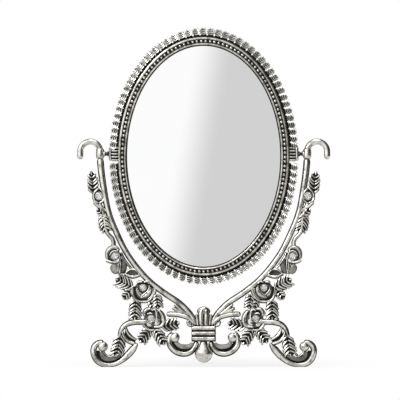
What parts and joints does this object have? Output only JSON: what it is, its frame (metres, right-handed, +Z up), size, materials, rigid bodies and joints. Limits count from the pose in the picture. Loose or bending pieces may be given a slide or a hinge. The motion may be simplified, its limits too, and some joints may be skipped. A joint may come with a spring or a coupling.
{
  "type": "table mirror",
  "caption": "Oval two-sided vanity mirror that turns between the arms of a cast rose-vine stand with hooks.",
  "frame": {"origin": "on the table, under the middle of the whole mirror", "axes": "+Z up, the front of the mirror faces -Y, +X to the right seen from the front"},
  "size_m": [0.2286, 0.0876, 0.305],
  "materials": {
    "antique_pewter": "antiqued cast pewter, bright worn crests and blackened recesses",
    "mirror_glass": "silvered glass",
    "backing_felt": "black felt pad",
    "blackened_steel": "blackened turned steel",
    "crystal": "clear cut crystal"
  },
  "bodies": {
    "stand": {"centre_clasp": "antique_pewter", "rear_leg": "antique_pewter", "clasp_screws": "blackened_steel", "left_washer": "blackened_steel", "left_hook": "antique_pewter", "left_arm": "antique_pewter", "left_lower_rose_crystal": "crystal", "left_lower_bud_crystal": "crystal", "left_upper_rose_crystal": "crystal", "left_upper_bud_crystal": "crystal", "right_washer": "blackened_steel", "right_hook": "antique_pewter", "right_arm": "antique_pewter", "right_lower_rose_crystal": "crystal", "right_lower_bud_crystal": "crystal", "right_upper_rose_crystal": "crystal", "right_upper_bud_crystal": "crystal"},
    "head": {"mirror_frame": "antique_pewter", "rear_ring": "antique_pewter", "front_glass": "mirror_glass", "backing_pad": "backing_felt", "rear_glass": "mirror_glass", "left_pivot_pin": "blackened_steel", "right_pivot_pin": "blackened_steel", "left_lock_nut": "blackened_steel", "right_lock_nut": "blackened_steel"}
  },
  "joints": [
    {"name": "head_swivel", "type": "hinge", "parent": "stand", "child": "head", "pos_m": [0, -0.01956, 0.19145], "axis": [1, 0, 0], "continuous": true}
  ]
}
